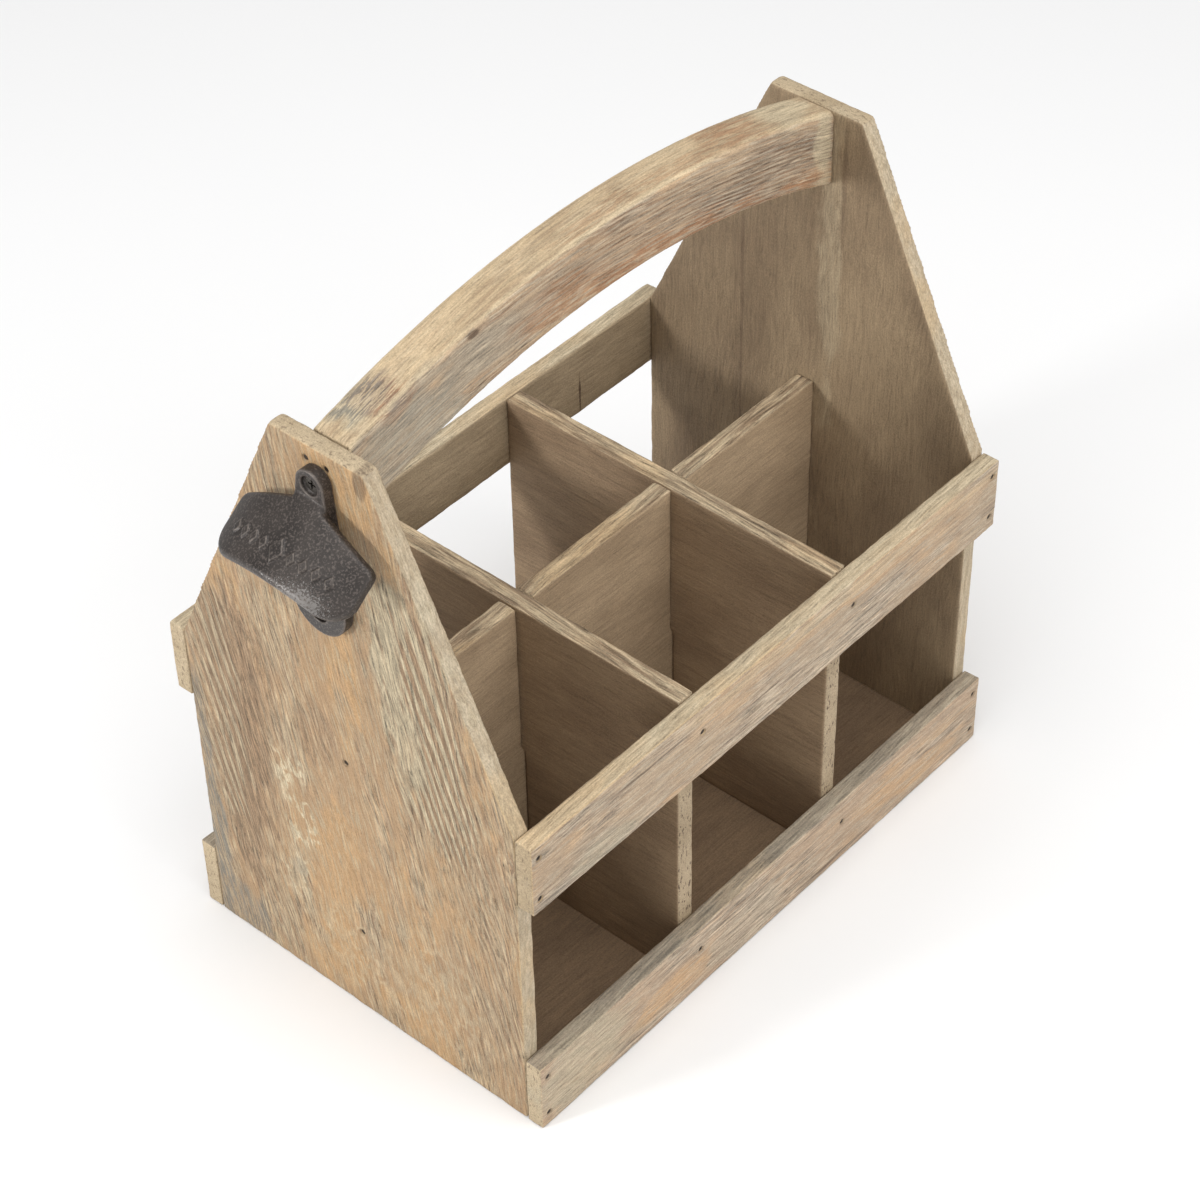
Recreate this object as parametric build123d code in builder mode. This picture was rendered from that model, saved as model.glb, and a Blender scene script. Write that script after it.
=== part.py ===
# Bottle caddy: a nailed wooden carrier for six bottles, with a cast iron opener on one end.
# X runs along the caddy, with the opener's end at -X. The front is at -Y and Z is up.
# The origin is the middle of the underside. Lengths are in millimetres, angles in degrees.

import os
from math import cos, radians, sin

from build123d import *

# Carcass
overall_length = 270.0
panel_width = 163.0
panel_height = 278.6
panel_top_width = 43.4
panel_thickness = 7.6
rack_height = 150.0
rail_height = 33.3
rail_thickness = 7.8
divider_thickness = 8.4
base_thickness = 3.0
lap_play = 0.2
eased_edge = 0.7

# Carry handle
handle_thickness = 18.5
handle_end_depth = 33.0
handle_middle_depth = 29.0
handle_rise = 20.6
handle_top_round = 3.0
handle_under_round = 2.0

# Brads: thin nails with small round heads, punched just under the surface
brad_length = 22.0
brad_radius = 0.7
brad_head_radius = 1.0
brad_head_height = 0.7
brad_set = 0.5
brad_play = 0.05
rail_brad_inset = 6.5
divider_brad_rise = 21.0
panel_brad_low = 44.0
panel_brad_high = 134.0
handle_brad_spacing = 9.4
handle_brad_drop = 6.2
base_brad_length = 14.0
base_brad_inset = 22.0
base_brad_offset = 18.0

# Opener casting, in its own upright frame on the outer face of the end panel
opener_drop = 41.6
opener_lean = 2.0
lug_rise = 29.3
lug_radius = 6.4
lug_thickness = 4.8
foot_drop = 24.3
foot_radius = 12.7
foot_screw_drop = 28.0
plate_thickness = 4.4
neck_half_width = 7.2

# Visor: a curved plate that slopes out from the neck, with wings at both sides
visor_slope = 37.7
visor_root_rise = 22.0
visor_crown = 5.0
visor_radius = 49.6
visor_thickness = 3.6
visor_start = 1.6
visor_reach = 35.0
neck_reach = 3.9
wing_half_width = 29.8
wing_corner_reach = 11.8
wing_top_round = 4.0
wing_front_round = 9.0
wing_edge_round = 2.4
front_hollow = 2.0

# Lip: a short tongue turned down from the middle of the visor's front edge
lip_half_width = 13.0
lip_depth = 5.5
lip_thickness = 3.4
lip_corner_round = 4.0
lip_setback = 1.0

# Ornament: a row of raised lozenges with a larger one in the middle
ornament_height = 0.7
ornament_reach = 22.5
lozenges_per_side = 4
lozenge_gap = 1.6
lozenge_half_width = 1.7
lozenge_half_length = 2.7
middle_half_width = 3.0
middle_half_length = 4.6

# Countersunk wood screws of the opener
screw_head_radius = 3.0
screw_radius = 1.6
screw_tip_radius = 0.3
screw_head_height = 1.7
screw_tip_length = 3.0
screw_sink = 1.5
screw_play = 0.15
recess_play = 0.8
upper_screw_length = 22.0
lower_screw_length = 10.0
cross_slot_length = 3.4
cross_slot_width = 0.7
cross_slot_depth = 0.8

# One overrun takes every cut clear of its surface
overrun = 1.0

# Sizes that follow from the ones above
half_length = overall_length / 2
half_width = panel_width / 2
inner_half_length = half_length - panel_thickness
inner_length = 2 * inner_half_length
divider_height = rack_height - base_thickness
cell_length = (inner_length - 2 * divider_thickness) / 3
cross_divider_x = (cell_length + divider_thickness) / 2
lap_width = divider_thickness + lap_play
lap_depth = divider_height / 2
opener_middle_height = panel_height - opener_drop


def board(face, length, height, thickness):
    """A plain board with eased edges: its outline lies on the face and its wood goes behind it."""
    with BuildPart() as plank:
        with BuildSketch(face):
            Rectangle(length, height)
        extrude(amount=-thickness)
        fillet(plank.edges(), eased_edge)
    return plank


def disc_cut(face, points, radius, depth):
    """Cut a round hole at each point, from the face inwards, in the part that is being made."""
    with BuildSketch(face) as rounds:
        with Locations(*points):
            Circle(radius)
    extrude(rounds.sketch, amount=-depth, mode=Mode.SUBTRACT)


def brad_holes(face, points, length=brad_length):
    """Cut the holes of a set of brads that are driven through the face."""
    head_depth = brad_set + brad_head_height + brad_play
    disc_cut(face, points, brad_head_radius + brad_play, head_depth)
    disc_cut(face, points, brad_radius + brad_play, brad_set + length + brad_play)


def brads(face, points, length=brad_length):
    """A set of brads driven through the face, each a head on a thin shank."""
    with BuildPart() as nails:
        with BuildSketch(face.offset(-brad_set)):
            with Locations(*points):
                Circle(brad_head_radius)
        extrude(amount=-brad_head_height)
        with BuildSketch(face.offset(-brad_set - brad_head_height)):
            with Locations(*points):
                Circle(brad_radius)
        extrude(amount=brad_head_height - length)
    return nails


def save(piece, name):
    """Label a finished piece and write its file."""
    piece.part.label = name
    export_step(piece.part, f"parts/{name}.step")


# Faces that the brads are driven through: the outer side of each rail and panel, and the underside
def rail_face(side, middle_height):
    """The outer side of a rail; side is -1 at the front and 1 at the rear."""
    middle = (0, side * (half_width + rail_thickness), middle_height)
    return Plane(origin=middle, x_dir=(1, 0, 0), z_dir=(0, side, 0))


def panel_face(side):
    """The outer side of an end panel; side is -1 at the opener's end. Y on it is upwards."""
    return Plane(origin=(side * half_length, 0, 0), x_dir=(0, side, 0), z_dir=(side, 0, 0))


underside = Plane(origin=(0, 0, 0), x_dir=(1, 0, 0), z_dir=(0, 0, -1))

# Places of the brads on those faces
rail_end_x = half_length - panel_thickness / 2
rail_edge_y = rail_height / 2 - rail_brad_inset
divider_brad_y = divider_brad_rise - rail_height / 2
rail_brads = [(x, y) for x in (-rail_end_x, rail_end_x) for y in (-rail_edge_y, rail_edge_y)]
rail_brads += [(x, divider_brad_y) for x in (-cross_divider_x, cross_divider_x)]
handle_brad_z = panel_height - handle_brad_drop
panel_brads = [(0, panel_brad_low), (0, panel_brad_high)]
panel_brads += [(y, handle_brad_z) for y in (-handle_brad_spacing / 2, handle_brad_spacing / 2)]
base_end_x = inner_half_length - base_brad_inset
base_end_y = half_width - base_brad_inset
base_brads = [(x, y) for x in (-cross_divider_x, cross_divider_x) for y in (-base_end_y, base_end_y)]
base_brads += [(x, 0) for x in (-base_end_x, -base_brad_offset, base_brad_offset, base_end_x)]

rail_heights = {"lower": rail_height / 2, "upper": rack_height - rail_height / 2}
rail_sides = {"front": -1, "rear": 1}
panel_sides = {"opener_side": -1, "far_side": 1}

os.makedirs("parts", exist_ok=True)


# The opener's frame: X across it towards the front, Y up along it, Z out from the panel
lean = radians(opener_lean)
opener_across = (0, -cos(lean), -sin(lean))
opener_wall = Plane(
    origin=(-half_length, 0, opener_middle_height), x_dir=opener_across, z_dir=(-1, 0, 0)
)
lug_point = (0, lug_rise)
foot_point = (0, -foot_screw_drop)


def screw_cut(depth_to_head, point, length):
    """Cut the recess, countersink and shank hole of a screw whose head lies under the plate's face."""
    face = opener_wall.offset(depth_to_head)
    head_top = face.offset(-screw_sink)
    disc_cut(face.offset(overrun), [point], screw_head_radius + recess_play, screw_sink + overrun)
    with BuildSketch(head_top) as wide:
        with Locations(point):
            Circle(screw_head_radius + screw_play)
    with BuildSketch(head_top.offset(-screw_head_height)) as narrow:
        with Locations(point):
            Circle(screw_radius + screw_play)
    loft([wide.sketch, narrow.sketch], mode=Mode.SUBTRACT)
    disc_cut(head_top, [point], screw_radius + screw_play, length + screw_play)


# End panels: a rectangle up to the rack's height, then shoulders that slope in to the narrow top
def end_panel(side):
    """One end panel with its brad holes and, on the opener's side, the pilot holes of the screws."""
    face = panel_face(side)
    with BuildPart() as panel:
        with BuildSketch(face):
            with BuildLine():
                Polyline(
                    (-half_width, 0),
                    (half_width, 0),
                    (half_width, rack_height),
                    (panel_top_width / 2, panel_height),
                    (-panel_top_width / 2, panel_height),
                    (-half_width, rack_height),
                    close=True,
                )
            make_face()
        extrude(amount=-panel_thickness)
        fillet(panel.edges(), eased_edge)
        brad_holes(face, panel_brads)
        for rail_side in rail_sides.values():
            for middle_height in rail_heights.values():
                brad_holes(rail_face(rail_side, middle_height), rail_brads)
        if side == panel_sides["opener_side"]:
            screw_cut(lug_thickness, lug_point, upper_screw_length)
            screw_cut(plate_thickness, foot_point, lower_screw_length)
    return panel


for place, side in panel_sides.items():
    save(end_panel(side), f"end_panel_{place}")
    save(brads(panel_face(side), panel_brads), f"{place}_panel_brads")


# Rails: slats nailed flat on the edges of the end panels and on the ends of the cross dividers
for side_name, side in rail_sides.items():
    for level, middle_height in rail_heights.items():
        face = rail_face(side, middle_height)
        rail = board(face, overall_length, rail_height, rail_thickness)
        with rail:
            brad_holes(face, rail_brads)
        save(rail, f"{side_name}_{level}_rail")
        save(brads(face, rail_brads), f"{side_name}_{level}_rail_brads")


# Base board: a thin floor that the dividers stand on, flush with the underside of the lower rails
with BuildPart() as base_board:
    with BuildSketch(underside):
        Rectangle(inner_length, panel_width)
    extrude(amount=-base_thickness)
    brad_holes(underside, base_brads, base_brad_length)
save(base_board, "base_board")
save(brads(underside, base_brads, base_brad_length), "base_brads")


# Dividers: three boards halved into each other, all the same height
divider_middle = base_thickness + divider_height / 2
long_face = Plane(
    origin=(0, -divider_thickness / 2, divider_middle), x_dir=(1, 0, 0), z_dir=(0, -1, 0)
)
long_divider = board(long_face, inner_length, divider_height, divider_thickness)
with long_divider:
    with BuildSketch(long_face.offset(overrun)) as slots:
        with Locations(*[(x, lap_depth) for x in (-cross_divider_x, cross_divider_x)]):
            Rectangle(lap_width, 2 * lap_depth)
    extrude(slots.sketch, amount=-divider_thickness - 2 * overrun, mode=Mode.SUBTRACT)
    for side in panel_sides.values():
        brad_holes(panel_face(side), panel_brads)
    brad_holes(underside, base_brads, base_brad_length)
save(long_divider, "long_divider")


def cross_divider(x):
    """One crossways divider, slotted from below over the long divider."""
    face = Plane(
        origin=(x - divider_thickness / 2, 0, divider_middle), x_dir=(0, -1, 0), z_dir=(-1, 0, 0)
    )
    divider = board(face, panel_width, divider_height, divider_thickness)
    with divider:
        with BuildSketch(face.offset(overrun)) as slot:
            with Locations((0, -lap_depth)):
                Rectangle(lap_width, 2 * lap_depth)
        extrude(slot.sketch, amount=-divider_thickness - 2 * overrun, mode=Mode.SUBTRACT)
        for rail_side in rail_sides.values():
            for middle_height in rail_heights.values():
                brad_holes(rail_face(rail_side, middle_height), rail_brads)
        brad_holes(underside, base_brads, base_brad_length)
    return divider


save(cross_divider(-cross_divider_x), "cross_divider_near")
save(cross_divider(cross_divider_x), "cross_divider_far")


# Carry handle: a board sawn to two arcs, with its long edges rounded for the hand
handle_top = panel_height + handle_rise
with BuildPart() as carry_handle:
    with BuildSketch(Plane.XZ):
        with BuildLine():
            top_arc = ThreePointArc(
                (-inner_half_length, panel_height), (0, handle_top), (inner_half_length, panel_height)
            )
            under_arc = ThreePointArc(
                (inner_half_length, panel_height - handle_end_depth),
                (0, handle_top - handle_middle_depth),
                (-inner_half_length, panel_height - handle_end_depth),
            )
            Line(top_arc @ 1, under_arc @ 0)
            Line(under_arc @ 1, top_arc @ 0)
        make_face()
    extrude(amount=handle_thickness / 2, both=True)
    curved_faces = carry_handle.faces().filter_by(GeomType.CYLINDER).sort_by(Axis.Z)
    fillet(curved_faces[-1].edges().filter_by(GeomType.CIRCLE), handle_top_round)
    under_face = carry_handle.faces().filter_by(GeomType.CYLINDER).sort_by(Axis.Z)[0]
    fillet(under_face.edges().filter_by(GeomType.CIRCLE), handle_under_round)
    for side in panel_sides.values():
        brad_holes(panel_face(side), panel_brads)
    screw_cut(lug_thickness, lug_point, upper_screw_length)
save(carry_handle, "carry_handle")


# Opener: the visor's own frame has its origin on the axis of the visor's curve
slope = radians(visor_slope)
slope_down = opener_wall.z_dir * cos(slope) - opener_wall.y_dir * sin(slope)
slope_out = opener_wall.z_dir * sin(slope) + opener_wall.y_dir * cos(slope)
visor_root = opener_wall.from_local_coords((0, visor_root_rise, 0))
visor_centre = visor_root + slope_out * (visor_crown - visor_radius)
visor_section = Plane(origin=visor_centre, x_dir=opener_across, z_dir=slope_down)
visor_outline = Plane(origin=visor_centre, x_dir=opener_across, z_dir=slope_out)
under_radius = visor_radius - visor_thickness

# The wings' outline as seen square to the slope, with Y up the slope
right_outline = [
    (neck_half_width, 0),
    (neck_half_width, -neck_reach),
    (wing_half_width, -wing_corner_reach),
    (wing_half_width, -visor_reach),
]
left_outline = [(-x, y) for x, y in reversed(right_outline)]

# Ornament: a plain raised row of small lozenges at both sides of a large one
first_lozenge_x = middle_half_width + lozenge_gap + lozenge_half_width
lozenge_pitch = 2 * lozenge_half_width + lozenge_gap
lozenge_places = [
    (side * (first_lozenge_x + step * lozenge_pitch), -ornament_reach)
    for side in (-1, 1)
    for step in range(lozenges_per_side)
]


def lozenge(half_width, half_length):
    """A lozenge in the sketch that is being drawn."""
    Polygon((-half_width, 0), (0, -half_length), (half_width, 0), (0, half_length))


with BuildPart() as ornament:
    with BuildSketch(visor_section):
        Circle(visor_radius + ornament_height)
        Circle(visor_radius - visor_thickness / 2, mode=Mode.SUBTRACT)
        with Locations((0, visor_radius)):
            Rectangle(2 * visor_radius, visor_radius, mode=Mode.INTERSECT)
    extrude(amount=visor_reach)
    with BuildSketch(visor_outline):
        with Locations((0, -ornament_reach)):
            lozenge(middle_half_width, middle_half_length)
        with Locations(*lozenge_places):
            lozenge(lozenge_half_width, lozenge_half_length)
    extrude(amount=visor_radius + overrun, mode=Mode.INTERSECT)

with BuildPart() as bottle_opener:
    # The visor starts as a curved sheet that runs down the slope
    with BuildSketch(visor_section.offset(visor_start)):
        Circle(visor_radius)
        Circle(under_radius, mode=Mode.SUBTRACT)
        with Locations((0, visor_radius)):
            Rectangle(2 * visor_radius, visor_radius, mode=Mode.INTERSECT)
    extrude(amount=visor_reach)

    # The wings are cut out of it square to the slope, with a slight hollow in the front edge
    with BuildSketch(visor_outline) as wings:
        with BuildLine():
            Polyline(*left_outline, *right_outline)
            ThreePointArc(right_outline[-1], (0, front_hollow - visor_reach), left_outline[0])
        make_face()
        corners = [wings.vertices().group_by(Axis.X)[end].sort_by(Axis.Y)[-1] for end in (0, -1)]
        fillet(corners, wing_top_round)
        fillet(wings.vertices().group_by(Axis.Y)[0], wing_front_round)
    extrude(amount=visor_radius + overrun, mode=Mode.INTERSECT)
    top_face = bottle_opener.faces().sort_by(Axis(visor_centre, slope_out))[-1]
    fillet(top_face.edges().sort_by(Axis(visor_centre, slope_down))[1:], wing_edge_round)

    # The lip is a short tongue just behind the front edge, which hooks a cap's rim
    with BuildSketch(visor_section.offset(visor_reach - front_hollow - lip_setback)) as lip:
        with Locations((0, under_radius)):
            Rectangle(2 * lip_half_width, 2 * lip_depth)
        fillet(lip.vertices().group_by(Axis.Y)[0], lip_corner_round)
        Circle(visor_radius - visor_thickness / 2, mode=Mode.INTERSECT)
    extrude(amount=-lip_thickness)
    add(ornament.part)

    # The back plate tapers up from the round foot to the neck, and the thicker lug stands on it
    with BuildSketch(opener_wall):
        Polygon(
            (-foot_radius, -foot_drop),
            (foot_radius, -foot_drop),
            (neck_half_width, visor_root_rise),
            (-neck_half_width, visor_root_rise),
            align=None,
        )
        with Locations((0, -foot_drop)):
            Circle(foot_radius)
    extrude(amount=plate_thickness)
    with BuildSketch(opener_wall):
        Polygon(
            (-neck_half_width, visor_root_rise),
            (neck_half_width, visor_root_rise),
            (lug_radius, lug_rise),
            (-lug_radius, lug_rise),
            align=None,
        )
        with Locations(lug_point):
            Circle(lug_radius)
    extrude(amount=lug_thickness)
    screw_cut(lug_thickness, lug_point, upper_screw_length)
    screw_cut(plate_thickness, foot_point, lower_screw_length)
save(bottle_opener, "bottle_opener")


def wood_screw(depth_to_head, point, length):
    """A countersunk wood screw with a cross slot and a pointed tip."""
    head_top = opener_wall.offset(depth_to_head - screw_sink)
    neck = head_top.offset(-screw_head_height)
    with BuildPart() as screw:
        with BuildSketch(head_top):
            with Locations(point):
                Circle(screw_head_radius)
        with BuildSketch(neck):
            with Locations(point):
                Circle(screw_radius)
        loft()
        with BuildSketch(neck):
            with Locations(point):
                Circle(screw_radius)
        extrude(amount=screw_head_height + screw_tip_length - length)
        with BuildSketch(head_top.offset(screw_tip_length - length)):
            with Locations(point):
                Circle(screw_radius)
        with BuildSketch(head_top.offset(-length)):
            with Locations(point):
                Circle(screw_tip_radius)
        loft()
        with BuildSketch(head_top.offset(overrun)):
            with Locations(point):
                Rectangle(cross_slot_length, cross_slot_width)
                Rectangle(cross_slot_width, cross_slot_length)
        extrude(amount=-cross_slot_depth - overrun, mode=Mode.SUBTRACT)
    return screw


save(wood_screw(lug_thickness, lug_point, upper_screw_length), "opener_upper_screw")
save(wood_screw(plate_thickness, foot_point, lower_screw_length), "opener_lower_screw")
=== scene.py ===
# %% [markdown]
# # A nailed bottle caddy
# The caddy is a small crate of limed, weathered boards with a cast iron opener on one end.
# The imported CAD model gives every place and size. This script dresses it: each board becomes
# a worn plank with its own grain, and the opener becomes a softly rounded casting.

import math

import bmesh
import bpy
import numpy as np
from mathutils import Matrix, Vector


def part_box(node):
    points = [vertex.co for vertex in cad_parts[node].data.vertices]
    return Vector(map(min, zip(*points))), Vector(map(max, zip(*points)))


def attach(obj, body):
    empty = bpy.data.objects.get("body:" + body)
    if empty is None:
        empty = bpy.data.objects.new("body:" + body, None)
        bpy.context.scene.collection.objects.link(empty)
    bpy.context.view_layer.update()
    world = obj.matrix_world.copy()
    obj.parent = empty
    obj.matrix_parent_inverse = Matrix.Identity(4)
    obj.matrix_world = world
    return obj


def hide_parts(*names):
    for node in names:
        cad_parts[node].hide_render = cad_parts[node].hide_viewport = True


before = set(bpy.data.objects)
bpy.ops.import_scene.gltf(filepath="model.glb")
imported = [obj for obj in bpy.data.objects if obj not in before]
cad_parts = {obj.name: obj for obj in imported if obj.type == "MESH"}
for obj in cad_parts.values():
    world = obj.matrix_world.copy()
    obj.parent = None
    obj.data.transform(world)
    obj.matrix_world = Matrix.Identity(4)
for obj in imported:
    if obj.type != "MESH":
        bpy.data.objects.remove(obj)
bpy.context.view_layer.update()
scene = bpy.context.scene

# %% [markdown]
# ## Camera
# The photograph was taken from above the opener's end, with a long lens. The place and the
# three directions of the camera were fitted to the corners of the crate, so the render can be
# laid over the photograph. A camera in Blender looks along its own -Z, with Y up.

# %% Camera
camera_data = bpy.data.cameras.new("camera")
camera_data.lens = 92.56
camera_data.sensor_width = 36.0
camera = bpy.data.objects.new("camera", camera_data)
scene.collection.objects.link(camera)
scene.camera = camera
camera_place = Vector((-0.6483, -0.5837, 0.9136))
camera_right = Vector((0.65711, -0.75363, -0.01571))
camera_up = Vector((0.51548, 0.43406, 0.73882))
camera_back = camera_right.cross(camera_up)
turn = Matrix((camera_right, camera_up, camera_back)).transposed()
camera.matrix_world = Matrix.Translation(camera_place) @ turn.to_4x4()
print("camera looks along", [round(-c, 3) for c in camera_back])

# %% [markdown]
# ## Floor and light
# The studio is a plain pale floor under a white sky. A small lamp stands low at the opener's end
# and draws the shadow beside the opener. A wide one over the caddy lights all that faces up, and
# one in front lifts the long side. A picture of a studio could light the scene instead, but
# area lamps are easy to move until the shadows lie right, and large ones give soft shadows.

# %% Floor and light
scene.view_settings.view_transform = "Standard"


def area_lamp(name, place, target, size, power):
    """A square lamp at a place, turned to a target."""
    data = bpy.data.lights.new(name, "AREA")
    data.size = size
    data.energy = power
    lamp = bpy.data.objects.new(name, data)
    lamp.location = place
    lamp.rotation_euler = (Vector(target) - Vector(place)).to_track_quat("-Z", "Y").to_euler()
    scene.collection.objects.link(lamp)


area_lamp("key_lamp", (-1.25, 0.44, 0.48), (0, 0, 0.15), 0.2, 7.9)
area_lamp("top_lamp", (-0.3, -0.3, 1.8), (0, 0, 0.12), 1.8, 23)
area_lamp("fill_lamp", (0.2, -1.6, 0.9), (0, 0, 0.12), 1.2, 10)
print("lamps:", [(lamp.name, lamp.energy) for lamp in bpy.data.lights])

# %% Sky and floor
world = bpy.data.worlds.new("studio")
world.use_nodes = True
world.node_tree.nodes["Background"].inputs["Color"].default_value = (1, 1, 1, 1)
world.node_tree.nodes["Background"].inputs["Strength"].default_value = 0.5
scene.world = world

floor_reach = 8.0
floor_level = -0.0003
square = [(-1, -1), (1, -1), (1, 1), (-1, 1)]
corners = [(x * floor_reach, y * floor_reach, floor_level) for x, y in square]
floor_mesh = bpy.data.meshes.new("floor")
floor_mesh.from_pydata(corners, [], [(0, 1, 2, 3)])
floor = bpy.data.objects.new("floor", floor_mesh)
scene.collection.objects.link(floor)
print("floor reaches", floor_reach, "m to each side")

# %% [markdown]
# ## Small helpers for materials
# A material is a tree of nodes. It can be drawn by hand in the shader editor, but a script can
# be read again and changed in one place. These helpers make one node each and return the socket
# that comes out of it, so that a recipe further down reads like a formula.

# %% Colours, nodes and arithmetic
def colour(red, green, blue):
    """A screen colour from 0 to 255 as the linear colour that shaders work in."""
    return tuple(((c / 255 + 0.055) / 1.055) ** 2.4 for c in (red, green, blue)) + (1.0,)


def add_node(tree, kind, inputs, **settings):
    """A new node; each input is either a value or the socket that feeds it."""
    made = tree.nodes.new(kind)
    for key, value in settings.items():
        setattr(made, key, value)
    for key, value in inputs.items():
        if isinstance(value, bpy.types.NodeSocket):
            tree.links.new(value, made.inputs[key])
        else:
            made.inputs[key].default_value = value
    return made


def calc(tree, operation, first, second=0.0):
    """One step of arithmetic."""
    return add_node(tree, "ShaderNodeMath", {0: first, 1: second}, operation=operation).outputs[0]


def times(tree, first, second):
    """The product of two values."""
    return calc(tree, "MULTIPLY", first, second)


def plus(tree, first, second):
    """The sum of two values."""
    return calc(tree, "ADD", first, second)


def minus(tree, first, second):
    """The first value less the second."""
    return calc(tree, "SUBTRACT", first, second)


def vector_calc(tree, operation, first, second=(0, 0, 0)):
    """One step of arithmetic on vectors."""
    made = add_node(tree, "ShaderNodeVectorMath", {0: first, 1: second}, operation=operation)
    return made.outputs["Value" if operation in ("DOT_PRODUCT", "LENGTH") else "Vector"]


def coordinate(tree, kind):
    """A point's place or normal in object space."""
    return tree.nodes.new("ShaderNodeTexCoord").outputs[kind]


def attribute(tree, name):
    """A number that is kept at each point of the mesh."""
    return add_node(tree, "ShaderNodeAttribute", {}, attribute_name=name).outputs["Fac"]


# %% Steps, mixes and noise
def band(tree, value, low, high):
    """0 below low and 1 above high, with a smooth step between them."""
    inputs = {"Value": value, "From Min": low, "From Max": high}
    made = add_node(tree, "ShaderNodeMapRange", inputs, interpolation_type="SMOOTHSTEP")
    return made.outputs["Result"]


def blend(tree, factor, first, second, mode="MIX"):
    """Two colours mixed; factor 0 gives the first."""
    inputs = {0: factor, 6: first, 7: second}
    return add_node(tree, "ShaderNodeMix", inputs, data_type="RGBA", blend_type=mode).outputs[2]


def noise(tree, place, lumps, seed, detail=3.0, output="Fac"):
    """Noise with so many lumps to the metre along, across and through the board."""
    shift = (seed * 1.37, seed * 2.11, seed * 0.73)
    inputs = {"Vector": place, "Scale": lumps, "Location": shift}
    mapping = add_node(tree, "ShaderNodeMapping", inputs)
    inputs = {"Vector": mapping.outputs[0], "Scale": 1.0, "Detail": detail, "Roughness": 0.55}
    return add_node(tree, "ShaderNodeTexNoise", inputs).outputs[output]


def new_material(name):
    """A material with its shader, tree and output ready."""
    material = bpy.data.materials.new(name)
    material.use_nodes = True
    return material, material.node_tree, material.node_tree.nodes["Principled BSDF"]


# %% [markdown]
# ## The floor's paper
# The floor is a sheet of matt white paper. It has no pattern, so each value is set directly on
# the shader's own socket, and no gloss, or it would mirror the lamps.

# %% Floor material
floor_material, _, shader = new_material("studio_floor")
shader.inputs["Base Color"].default_value = (0.9, 0.9, 0.9, 1)
shader.inputs["Roughness"].default_value = 0.9
shader.inputs["Specular IOR Level"].default_value = 0.0
floor_mesh.materials.append(floor_material)
print("floor material:", floor_material.name)

# %% [markdown]
# ## Limed, weathered wood
# The boards were brushed so that the soft grain sank, rubbed with grey lime and sanded again.
# A photograph wrapped round each board would be one way to get this look. Here it is built from
# noise in the space of the board itself, so that the grain runs on over every edge.
# That space has X along the grain, Y across it and Z through it. It is moved and tilted to a
# pith that lies behind the board, so rings round the pith cut the face in long arches.

# %% Board space
def board_space(tree, order, pith, tilt, bend):
    """Object coordinates with the board's own axes in front, bent, moved and tilted to its pith."""
    place = coordinate(tree, "Object")
    split = add_node(tree, "ShaderNodeSeparateXYZ", {0: place})
    parts = {i: split.outputs["XYZ".index(letter)] for i, letter in enumerate(order)}
    if bend:
        arch = times(tree, times(tree, parts[0], parts[0]), bend)
        parts[1] = plus(tree, parts[1], arch)
    joined = add_node(tree, "ShaderNodeCombineXYZ", parts)
    inputs = {"Vector": joined.outputs[0], "Location": (0, *pith), "Rotation": (0, *tilt)}
    return add_node(tree, "ShaderNodeMapping", inputs).outputs[0]


# %% Fields of noise
rings_per_metre = 250


def grain_fields(tree, straight, seed, wavy):
    """The fields of noise that all the skins of one board share."""
    wander = noise(tree, straight, (11, 34, 34), seed, 3.0, "Color")
    wander = vector_calc(tree, "SUBTRACT", wander, (0.5, 0.5, 0.5))
    wander = vector_calc(tree, "MULTIPLY", wander, (0, 0.016 * wavy, 0.016 * wavy))
    place = vector_calc(tree, "ADD", straight, wander)
    radius = vector_calc(tree, "LENGTH", vector_calc(tree, "MULTIPLY", place, (0, 1, 1)))
    ring = calc(tree, "FRACT", times(tree, radius, rings_per_metre))
    fibre = noise(tree, place, (75, 1300, 1300), seed + 1, 4.0)
    speck = noise(tree, place, (1300, 2200, 2200), seed + 3, 2.0)
    pores = noise(tree, place, (230, 1700, 1700), seed + 4, 2.0)
    fine = times(tree, minus(tree, fibre, 0.5), 2.6)
    deep = times(tree, band(tree, pores, 0.56, 0.68), 0.30)
    return {
        "early": times(tree, band(tree, ring, 0.0, 0.2), band(tree, ring, 0.55, 0.3)),
        "fibre": fibre,
        "pores": pores,
        "speck": speck,
        "fine": minus(tree, fine, deep),
        "grit": times(tree, minus(tree, speck, 0.5), 0.9),
        "fleck": noise(tree, place, (85, 1150, 1150), seed + 2, 2.0),
        "patch": noise(tree, straight, (15, 44, 44), seed + 5, 4.0),
        "streak": noise(tree, place, (28, 520, 520), seed + 6, 4.0),
        "cloud": noise(tree, straight, (15, 26, 26), seed + 7, 3.0),
    }


# %% Growth lines
def growth_lines(tree, straight, seed, lean, dense):
    """Long wavy lines of hard grain, so many to the metre, that lean across the board."""
    across = vector_calc(tree, "DOT_PRODUCT", straight, (math.sin(lean), math.cos(lean), 0))
    broad = noise(tree, straight, (9, 28, 28), seed + 10, 1.0)
    small = noise(tree, straight, (30, 200, 200), seed + 11, 3.0)
    broad = times(tree, broad, 5.0 / dense)
    small = times(tree, small, 0.45 / dense)
    across = plus(tree, across, plus(tree, broad, small))
    ring = calc(tree, "FRACT", times(tree, across, dense))
    return times(tree, band(tree, ring, 0.0, 0.15), band(tree, ring, 0.62, 0.47))


# %% [markdown]
# ## Marks on the boards
# Real boards are told apart by their marks: a knot, a crack, a smear of lime, a patch that the
# sander took back to bare wood. Each mark here is a ragged blot round a place on the caddy.
# Painting them by hand would need a picture file, and a blot needs only its kind, middle, size
# and strength.

# %% Marks
blot_outside = 1.35
blot_inside = 0.75


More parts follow.
